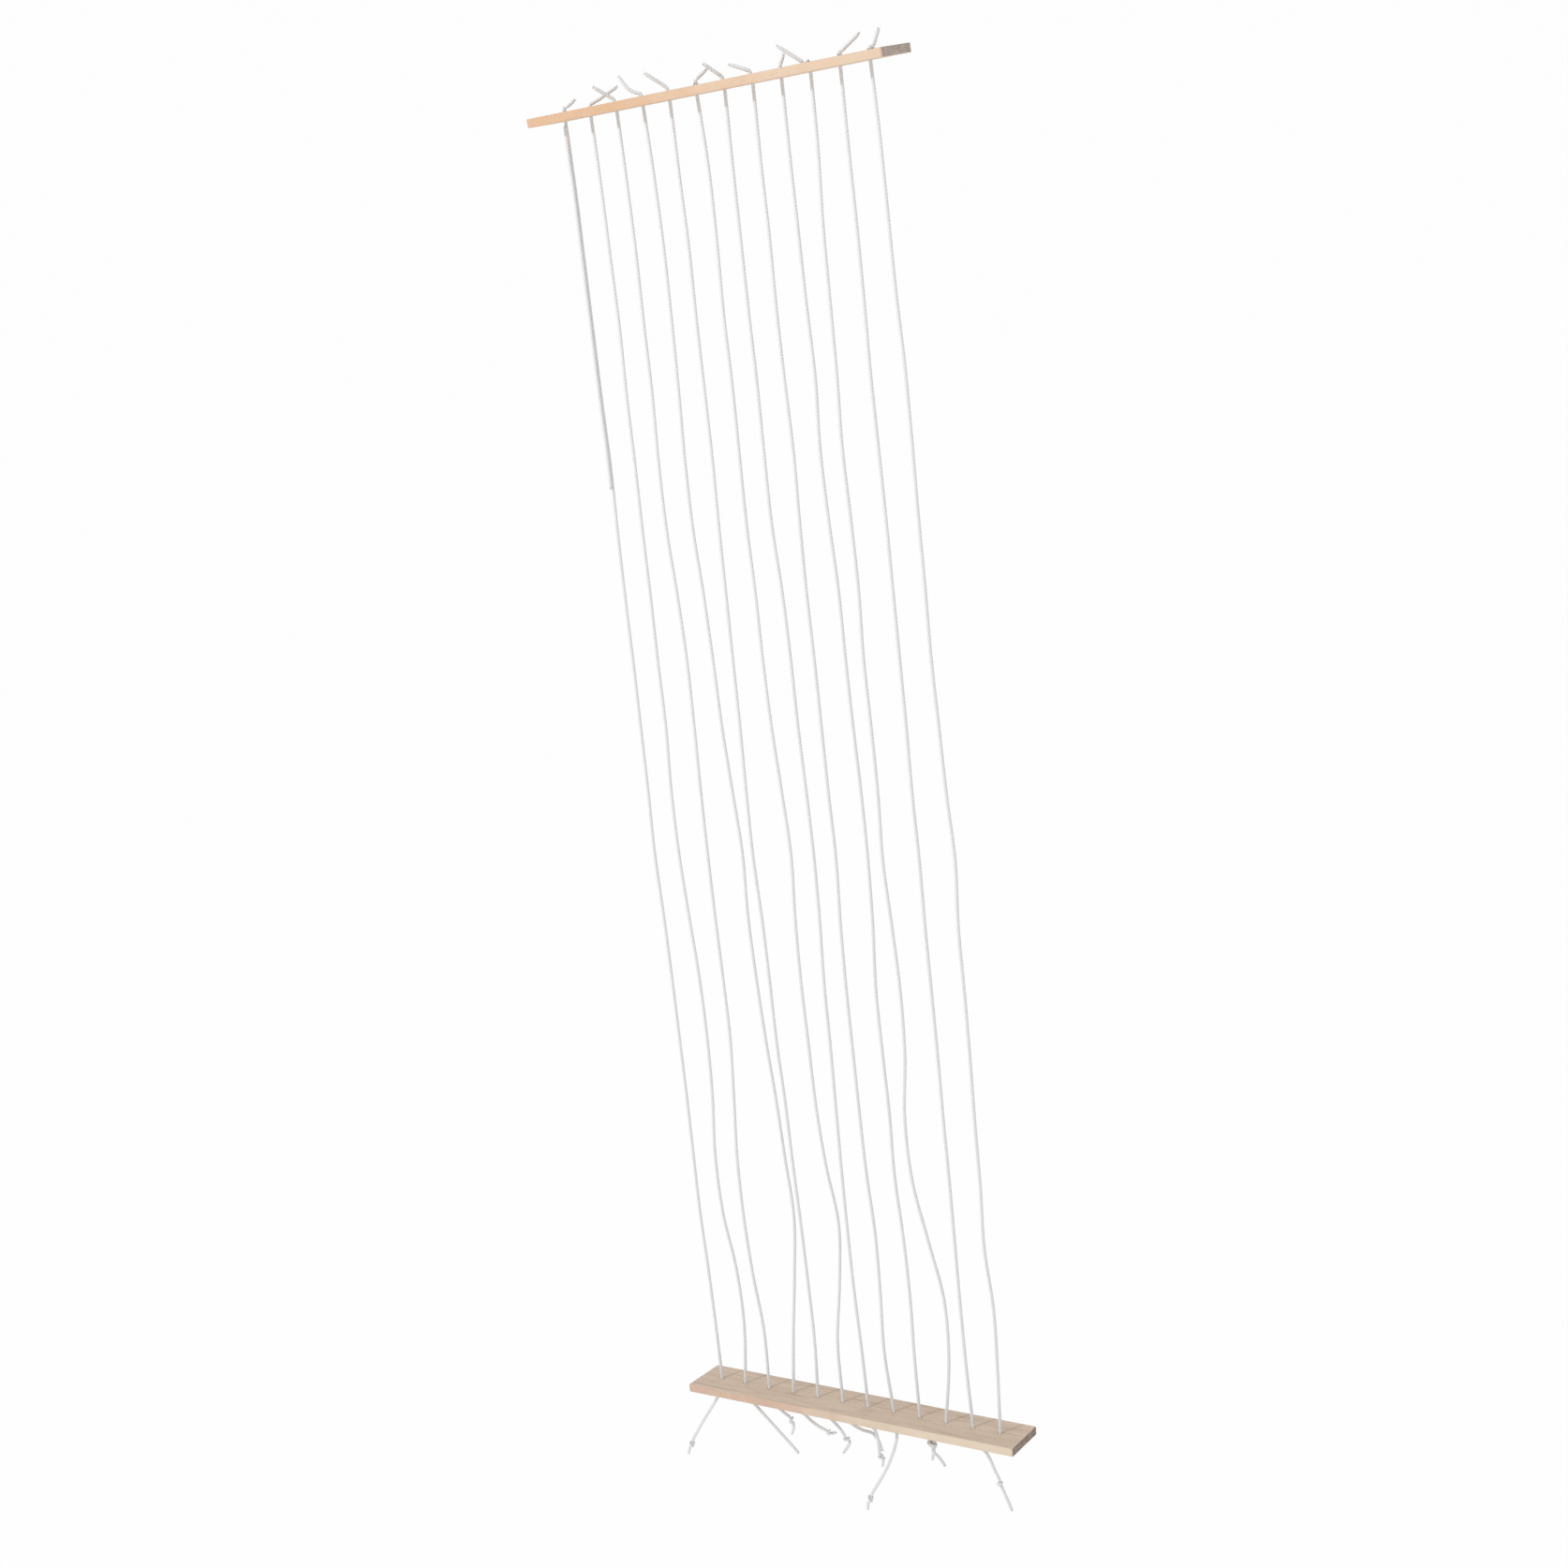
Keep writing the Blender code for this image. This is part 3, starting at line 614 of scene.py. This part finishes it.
# ---- second strand of the first cord -------------------------------------------------------
# The first cord was threaded with a little to spare, and the spare hangs against it. It comes
# out of the same hole and rests against the cord's front for the top quarter.
STRAND_LENGTH = 0.300
STRAND_GAP = 0.0003
STRAND_ANGLE = np.radians(26)
STRAND_START = 1.1 * CORD_DIAMETER
STRAND_SETTLED = 0.02        # from here down it lies beside the cord at its full distance
STRAND_PINCH = 0.62          # share of that distance that the hole leaves it
aside = (-DEPTH * np.cos(STRAND_ANGLE) - DRIFT * np.sin(STRAND_ANGLE)) * (CORD_DIAMETER + STRAND_GAP)
down = np.concatenate([
    [STRAND_START, 2.5 * STRAND_START], np.linspace(STRAND_SETTLED, STRAND_LENGTH, 9),
])
step = np.linalg.norm(spans[1][1] - spans[1][0])
closeness = np.interp(down, (STRAND_START, STRAND_SETTLED), (STRAND_PINCH, 1.0))
beside = spans[1][np.round(down / step).astype(int)] + aside * closeness[:, None]

# ---- ends of the sixth cord ----------------------------------------------------------------
# Where the sixth cord leaves each lath it bends both ways, in line with the laths and across
# them. Each bend is a stretch of the same cotton cord, hardly longer than it is thick.
BEND_STUB = (-0.0002, 0.0, 0.0002)
BEND_FIT = 1.01              # the bend's thickness, in cord thicknesses
for side_name, place, body in (
    ("upper", top_pivots[6], "warp"), ("lower", bottom_pivots[6], "lath_hanger"),
):
    stub = place + np.outer(BEND_STUB, (0, 0, 1))
    cord_piece(
        f"warp_06_{side_name}_bend", body, [tube(stub, np.full(len(stub), CORD_RADIUS * BEND_FIT))],
        f"{side_name}_bend_06",
    )

# ---- knots and frayed tips -----------------------------------------------------------------
# The knots are overhand knots in the same cord, tied by hand and pulled tight. Every loose end
# is cut with scissors, so its three plies open at the tip and a few fibres stand off.
KNOT_SQUEEZE = 0.64          # how thick the cord stays inside a pulled knot
KNOT_THICKNESS = CORD_DIAMETER * KNOT_SQUEEZE
KNOT_HALF = 1.45             # half the height of the knot proper, in cord thicknesses
SPARE = 11.4                 # cord that a knot takes up, in cord thicknesses
OPEN_STATIONS = 6            # a loose end's last stations, where its plies are open
PLY_ROOT = 0.0012            # how deep in the cord an open ply begins
FIBRE_COUNT = 8
FIBRE_RADIUS = 0.00009


def pull_knot(stations=90, half=3.4, rounds=520):
    """The line of an overhand knot pulled tight, with a cord 1 thick, knotted about Z.

    It starts as the open knot x = t^3 - 3t, y = t^4 - 4t^2 + 1, z = (t^5 - 10t) / 6. Then, in
    small steps, its ends go to z = -half and half, it shortens, it straightens a little, and
    stretches that come closer than 1 push each other away.
    """
    t = np.linspace(-2.2, 2.2, stations)
    line = np.stack([t**3 - 3 * t, t**4 - 4 * t**2 + 1, (t**5 - 10 * t) / 6], axis=1)
    first, last = line[[0, -1]].copy(), np.array([[0, 0, -half], [0, 0, half]])
    start = line_length(line)
    apart = abs(np.subtract.outer(np.arange(stations), np.arange(stations)))
    for step in range(rounds):
        share = min(1, step / (rounds * 0.7))
        piece = (start + (2 * half + SPARE - start) * share) / (stations - 1)
        ends = first + (last - first) * share
        line[1:-1] += 0.25 * ((line[:-2] + line[2:]) / 2 - line[1:-1])
        line[1:-1, :2] -= 0.15 * line[stations // 5:-stations // 5, :2].mean(axis=0)
        for _ in range(5):
            step_out = np.diff(line, axis=0)
            long = np.linalg.norm(step_out, axis=1)[:, None]
            mend = step_out * (long - piece) / long / 2
            line[:-1] += mend
            line[1:] -= mend
            line[[0, -1]] = ends
        between = line[:, None] - line[None]
        distance = np.linalg.norm(between, axis=2) + np.eye(stations)
        near = (distance < 1) & (apart * piece > 1.7)
        push = np.where(near, (1 - distance) / distance, 0)
        line += 0.22 * (push[..., None] * between).sum(axis=1)
        line[[0, -1]] = ends
    return line


KNOT_LINE = pull_knot()
entering = np.argmax(KNOT_LINE[:, 2] > -KNOT_HALF)
leaving = len(KNOT_LINE) - np.argmax(KNOT_LINE[::-1, 2] < KNOT_HALF)
KNOT_CORE = KNOT_LINE[entering:leaving]
KNOT_TALL = KNOT_CORE[-1, 2] - KNOT_CORE[0, 2]


def knot_at(start, along, turn, thickness):
    """A pulled knot that begins at start and runs along, turned about that direction."""
    along = along / np.linalg.norm(along)
    side = np.cross(along, (0.2, 1.0, 0.1))
    side /= np.linalg.norm(side)
    over = np.cross(along, side)
    x, y, z = (KNOT_CORE - KNOT_CORE[0]).T * thickness
    c, s = np.cos(turn), np.sin(turn)
    return start + np.outer(x * c - y * s, side) + np.outer(x * s + y * c, over) + np.outer(z, along)


def frayed_tip(tip, along, seed):
    """The three plies beyond a cut end, each a thin tube that leans out, and a few single fibres.

    A ply's line is tip + along * s + out * (start + lean * s^2).
    """
    rng = np.random.default_rng(seed)
    along = along / np.linalg.norm(along)
    side = np.cross(along, (0.3, 0.2, 1.0) if abs(along[2]) < 0.9 else (1.0, 0.2, 0.1))
    side /= np.linalg.norm(side)
    over = np.cross(along, side)
    made = []
    begin = rng.uniform(0, 2 * np.pi)
    for ply in range(PLIES):
        turn = begin + ply * 2 * np.pi / PLIES + rng.uniform(-0.3, 0.3)
        out = np.cos(turn) * side + np.sin(turn) * over
        long = rng.uniform(0.0016, 0.0028)
        s = np.linspace(-PLY_ROOT, long, 9)
        lean = rng.uniform(0.06, 0.24) / long
        opened = PLY_OFFSET * CORD_RADIUS + lean * np.clip(s, 0, 1) ** 2
        line = tip + np.outer(s, along) + np.outer(opened, out)
        radii = CORD_RADIUS * np.interp(s, (-PLY_ROOT, 0, long), (0.5, 0.52, 0.34))
        made.append(tube(line, radii, sides=9, plies=3, lay=0.004, first_turn=turn))
    for _ in range(FIBRE_COUNT):
        turn = rng.uniform(0, 2 * np.pi)
        out = np.cos(turn) * side + np.sin(turn) * over
        long = rng.uniform(0.0020, 0.0036)
        s = np.linspace(0, long, 6)
        lean = rng.uniform(0.05, 0.30) / long
        root = rng.uniform(0.1, 0.8) * CORD_RADIUS
        line = tip + np.outer(s, along) + np.outer(root + lean * s**2, out)
        made.append(tube(line, np.full(len(s), FIBRE_RADIUS), sides=5, plies=1, lay=1.0))
    return made


def offset_points(start, offsets):
    """Points that lie offsets from start: millimetres along DRIFT, along DEPTH and up."""
    along, across, up = np.array(offsets, float).T * MM
    return start + np.outer(along, DRIFT) + np.outer(across, DEPTH) + np.outer(up, (0, 0, 1))


def loose_line(stretches):
    """One smooth line through stretches of (points, width), where a stretch is cord or knot."""
    points = np.concatenate([np.atleast_2d(p) for p, _ in stretches])
    widths = np.concatenate([np.full(len(np.atleast_2d(p)), w) for p, w in stretches])
    return smooth_line(points, END_STATION, widths)


def loose_piece(name, body, line, width, seed, far_end, *stands_for):
    """A loose end with its frayed tip; gives the piece and the end's length."""
    whole, whole_width = line[:-OPEN_STATIONS], width[:-OPEN_STATIONS]
    surfaces = [tube(whole, whole_width * CORD_RADIUS, first_turn=seed)]
    surfaces += frayed_tip(whole[-1], line[-1] - whole[-1], seed)
    made = cord_piece(name, body, surfaces, *stands_for)
    long = line_length(line)
    return made, long


strand_line, strand_width = loose_line([(beside, 1.0)])
loose_piece("warp_01_strand", "warp_cord_01", strand_line, strand_width, 71, "bare", "cord_01_strand")

# ---- loose ends above the top lath ---------------------------------------------------------
# Each cord comes up through its hole and ends in a short stiff tail. Five have a knot on the
# lath, and the other seven are a tight fit in their holes.
HOLE_LEAD = 0.001            # the cord's last point inside a hole lies this far from the mouth

# Millimetres from a hole's mouth, along DRIFT, along DEPTH and up.
UPPER_ROUTE = {
    1: ((1.4, 0, 5.4), (5, -1, 7.7), (10.8, -2, 8.8)),
    2: ((1.2, 0.3, 2), (4.5, 0.8, 3.6), (9, 1.5, 5.6), (14.3, 2.4, 8.7), (25, 4, 14.2)),
    3: ((-1, 0.3, 2.2), (-3.5, 0, 4.2), (-8, -1, 7.3), (-16.2, -3, 13)),
    4: ((-0.6, 0.2, 2.2), (-3.4, 0.6, 3.4), (-8.2, 1.6, 6), (-12.8, 2.8, 11.4), (-16.5, 4, 18.1)),
    5: ((-0.8, 0, 2.5), (-3.8, 0, 5.4), (-9.5, -1, 9.6), (-17.3, -2, 15.4)),
    6: ((0.5, 0, 5), (2.5, 0, 7), (6, 1, 9.3), (10.5, 2, 12)),
    7: ((-0.8, 0, 2.5), (-3.5, -1, 4.8), (-8.6, -2, 8.8), (-14.3, -4, 13.3)),
    8: ((-1, 0, 2.2), (-4, 0, 3.9), (-8.5, 1, 6), (-16.5, 3, 9.5)),
    9: ((0.6, 0, 2.5), (2, 1, 5.4), (4.3, 3, 10.8)),
    10: ((-0.5, 0, 5), (-4, 0, 7), (-11, 1, 10), (-23, 2, 14.6)),
    11: ((0.8, 0, 5), (3.5, -1, 7.3), (9, -2, 10), (16.8, -5, 14.2)),
    12: ((1, 0, 5.4), (3, 1, 8.2), (5.6, 2, 11), (9.2, 3, 15.2)),
}
UPPER_KNOTS = (1, 6, 10, 11, 12)
UPPER_KNOT_SIZE = KNOT_THICKNESS * 0.85
UPPER_KNOT_WIDTH = KNOT_SQUEEZE * 0.9
UPPER_KNOT_SINK = 0.0006     # how far its first turn is pulled into the hole

up_through = roll_axes(TOP_ROLL)[2]
for number in range(1, CORD_COUNT + 1):
    mouth = top_pivots[number] + up_through * (LATH_THICKNESS + PIVOT_STANDOFF)
    route = offset_points(mouth, UPPER_ROUTE[number])
    stretches = [(top_pivots[number], 1.0), (mouth - up_through * HOLE_LEAD, 1.0)]
    if number in UPPER_KNOTS:
        begin = mouth - up_through * UPPER_KNOT_SINK
        knot = knot_at(begin, route[2] - mouth, number * 1.3, UPPER_KNOT_SIZE)
        tail = np.array([(knot[-1] + route[-1]) / 2, route[-1]])
        stretches += [(knot, UPPER_KNOT_WIDTH), (tail, 1.0)]
    else:
        stretches += [(route, 1.0)]
    line, width = loose_line(stretches)
    upper_end, long = loose_piece(
        f"upper_end_{number:02d}", "frame", line, width, 20 + number, "bare", f"upper_tail_{number:02d}",
    )

# ---- loose ends below the bottom lath ------------------------------------------------------
# Each cord goes down through its hole to a knot that carries the lath. What is left over hangs
# below in a lazy curve, and most of the ends have a second small knot against fraying.
LOWER_KNOT_WIDTH = KNOT_SQUEEZE * 1.06

# Millimetres from a hole's mouth, along DRIFT, along DEPTH and up.
LOWER_ROUTE = {
    1: ((-0.5, 0, -5.5), (-6.5, 1, -13), (-19, 3, -31), (-29, 4, -46), (-36, 3, -57), (-40, 2, -67)),
    2: ((1, 0, -5.5), (8, -1, -17), (25, -3, -42), (42, -5, -67)),
    3: ((1, 0, -5.5), (7, -1, -14), (13, -1, -21), (18, 0, -27), (18.5, 1, -35), (16, 1, -43)),
    4: ((1, 0, -5.5), (7, 1, -15.5), (15, 2, -26), (23, 3, -34), (29, 3, -38), (35, 2, -39)),
    5: ((1.5, 0, -5.5), (8, -2, -12.5), (14, -3, -20), (19, -4, -28), (22, -4, -36), (18, -4, -49)),
    6: ((1, 0, -5.5), (7, 0, -16), (16, 1, -23.5), (24, 2, -28), (29, 2, -37), (31, 2, -47)),
    7: ((1, 0, -5.5), (4, 1, -16), (6, 2, -27), (6, 3, -37), (6.5, 3, -45), (7.5, 3, -54)),
    8: ((0.3, 0, -5.5), (1, -1, -15), (-1.5, -2, -24), (-6, -4, -34), (-12, -5, -45),
        (-21, -6, -58), (-29, -6, -70), (-32, -6, -81)),
    9: ((1, -1, -5.5), (-4.5, 1.9, -13), (-3.5, -0.3, -19), (-2.5, 0.9, -25), (-1.2, 2.9, -33)),
    10: ((-1, 1, -5.5), (1, -2.4, -10.5), (-4, -0.7, -17), (-1, -0.9, -23.5), (4.5, -2.9, -37)),
    11: ((1.5, 0, -5.5), (10, 1, -19), (15.5, 2, -36), (20, 3, -51), (24, 4, -66), (28, 5, -80)),
    12: ((-0.3, 0, -5.5), (0, 1, -11.5)),
}
LOWER_KNOT_AT = {1: 4, 3: 3, 4: 4, 5: 4, 7: 4, 8: 6, 11: 3}      # which of the points is a knot
TIED_PAIR = (9, 10)

down_through = -roll_axes(BOTTOM_ROLL)[2]


def lower_start(number):
    """A lower end's first stretches: through the hole, and the knot that carries the lath."""
    mouth = bottom_pivots[number] + down_through * (LATH_THICKNESS + PIVOT_STANDOFF)
    knot = knot_at(mouth + down_through * JOINT_GAP, down_through, number * 2.1, KNOT_THICKNESS)
    hole = [(bottom_pivots[number], 1.0), (mouth - down_through * HOLE_LEAD, 1.0)]
    return mouth, hole + [(knot, LOWER_KNOT_WIDTH)]


for number in range(1, CORD_COUNT + 1):
    if number in TIED_PAIR:
        continue
    mouth, stretches = lower_start(number)
    route = offset_points(mouth, LOWER_ROUTE[number])
    tied = LOWER_KNOT_AT.get(number)
    for index, point in enumerate(route):
        if index == 0 and len(route) > 2:
            continue
        if index == tied:
            along = route[index] - route[index - 1]
            along = along / np.linalg.norm(along)
            start = point - along * KNOT_TALL * KNOT_THICKNESS / 2
            knot = knot_at(start, along, number * 0.9, KNOT_THICKNESS)
            stretches.append((knot, LOWER_KNOT_WIDTH))
        else:
            stretches.append((point, 1.0))
    line, width = loose_line(stretches)
    loose_piece(
        f"lower_end_{number:02d}", "lower_lath", line, width, 40 + number,
        "knot" if tied else "bare", f"lower_tail_{number:02d}",
    )

# ---- two lower ends tied to each other -----------------------------------------------------
# The ninth and tenth ends were drawn together under the lath and tied in one overhand knot, so
# their two short tails leave it side by side.
PAIR_THICKNESS = 1.45 * KNOT_THICKNESS
PAIR_CENTRE = (-2.2, -0.5, -14.8)    # the knot, in millimetres from midway between the two mouths
PAIR_TURN = 0.4
PAIR_TIP_SHIFT = 0.00255     # each tip is moved this far, to its own side
TAIL_POINT = 0.55            # where a tail's middle point lies, from the knot to the tip


def pair_lines():
    """The two cords' lines through their shared knot: the knot's own line, half a cord to each side."""
    mouths, starts = zip(*[lower_start(number) for number in TIED_PAIR])
    middle = (mouths[0] + mouths[1]) / 2
    centre = offset_points(middle, [PAIR_CENTRE])[0]
    along = np.array([0.0, 0.0, -1.0])
    begin = centre - along * KNOT_TALL * PAIR_THICKNESS / 2
    shared = knot_at(begin, along, PAIR_TURN, PAIR_THICKNESS)
    shared = shared - (shared.mean(axis=0) - centre)
    _, side = along_and_side(shared)
    found = []
    for number, mouth, stretches, way in zip(TIED_PAIR, mouths, starts, (-1, 1)):
        beside = shared + side * way * KNOT_THICKNESS / 2
        lead = offset_points(mouth, LOWER_ROUTE[number][:1])
        tip = offset_points(middle, LOWER_ROUTE[number][-1:])[0] + DRIFT * way * PAIR_TIP_SHIFT
        tail = np.array([beside[-1] * (1 - TAIL_POINT) + tip * TAIL_POINT, tip])
        found.append(stretches + [(lead, 1.0), (beside, LOWER_KNOT_WIDTH), (tail, 1.0)])
    return found


for number, stretches in zip(TIED_PAIR, pair_lines()):
    line, width = loose_line(stretches)
    loose_piece(
        f"lower_end_{number:02d}", "lower_lath", line, width, 40 + number, "knot",
        f"lower_tail_{number:02d}",
    )

# ---- studio --------------------------------------------------------------------------------
# A pale matte floor well under the hanging loom, a bright white surround that lights it from
# all round, and one soft lamp high in front of it, a little to the left.
FLOOR_DEPTH = 2.6
FLOOR_REACH = 400
FLOOR_GLOW = 0.958
LAMP_DIRECTION = np.array([-0.34, -0.84, 0.56])
LAMP_DISTANCE = 3.0
LAMP_SIZE = 0.22
LAMP_POWER = 34.0
SURROUND_LIGHT = 0.76        # how bright the surround is for the loom,
SURROUND_SEEN = 0.988        # and how bright it looks itself

floor_corners = np.array([[-1, -1, 0], [1, -1, 0], [1, 1, 0], [-1, 1, 0]], float)
floor_points = floor_corners * FLOOR_REACH - (0, 0, FLOOR_DEPTH)
floor = make_mesh("floor", floor_points, np.array([[0, 1, 2, 3]]), np.zeros((0, 3), int))
floor_look, floor_shader, _ = new_material("pale_floor")
floor_shader.inputs["Base Color"].default_value = (0.04, 0.04, 0.04, 1)
floor_shader.inputs["Specular IOR Level"].default_value = 0.0
floor_shader.inputs["Emission Color"].default_value = (1, 1, 1, 1)
floor_shader.inputs["Emission Strength"].default_value = FLOOR_GLOW
floor.data.materials.append(floor_look)

world = bpy.data.worlds.new("surround")
bpy.context.scene.world = world
world.use_nodes = True
sky = Shade(world.node_tree, None)
seen = sky.node("ShaderNodeLightPath", {}, {}, "Is Camera Ray")
strength = seen * (SURROUND_SEEN - SURROUND_LIGHT) + SURROUND_LIGHT
world.node_tree.links.new(strength.socket, world.node_tree.nodes["Background"].inputs["Strength"])
world.node_tree.nodes["Background"].inputs["Color"].default_value = (1, 1, 1, 1)

middle = (np.array(cad_box[0]) + np.array(cad_box[1])) / 2
toward = LAMP_DIRECTION / np.linalg.norm(LAMP_DIRECTION)
lamp_light = bpy.data.lights.new("lamp", "AREA")
lamp_light.shape = "DISK"
lamp_light.size = LAMP_SIZE
lamp_light.energy = LAMP_POWER
lamp = bpy.data.objects.new("lamp", lamp_light)
bpy.context.scene.collection.objects.link(lamp)


def aim(obj, place, right, up):
    """Puts a camera or a lamp at place, with its own right and up as given."""
    back = np.cross(right, up)
    matrix = np.eye(4)
    matrix[:3, 0], matrix[:3, 1], matrix[:3, 2], matrix[:3, 3] = right, up, back, place
    obj.matrix_world = Matrix(matrix.tolist())


lamp_right = np.cross((0, 0, 1), toward)
lamp_right /= np.linalg.norm(lamp_right)
aim(lamp, middle + toward * LAMP_DISTANCE, lamp_right, np.cross(toward, lamp_right))

# The camera stands to the right of the loom, a little lower than its top, and looks down a
# little, tilted so that the loom leans.
CAMERA_PLACE = np.array([0.86090, -1.41890, -0.23158])
CAMERA_YAW = np.radians(31.8055)
CAMERA_PITCH = np.radians(11.5263)
CAMERA_TILT = np.radians(-6.3175)
CAMERA_LENS = 45.558
FILM_SIZE = 36               # square

ahead = np.array([
    -np.sin(CAMERA_YAW) * np.cos(CAMERA_PITCH),
    np.cos(CAMERA_YAW) * np.cos(CAMERA_PITCH),
    -np.sin(CAMERA_PITCH),
])
level_right = np.array([np.cos(CAMERA_YAW), np.sin(CAMERA_YAW), 0])
level_up = np.cross(level_right, ahead)
camera_right = np.cos(CAMERA_TILT) * level_right + np.sin(CAMERA_TILT) * level_up
camera_up = np.cos(CAMERA_TILT) * level_up - np.sin(CAMERA_TILT) * level_right
lens = bpy.data.cameras.new("camera")
lens.sensor_width = FILM_SIZE
lens.lens = CAMERA_LENS
camera = bpy.data.objects.new("camera", lens)
bpy.context.scene.collection.objects.link(camera)
aim(camera, CAMERA_PLACE, camera_right, camera_up)
bpy.context.scene.camera = camera
bpy.context.scene.view_settings.view_transform = "Standard"
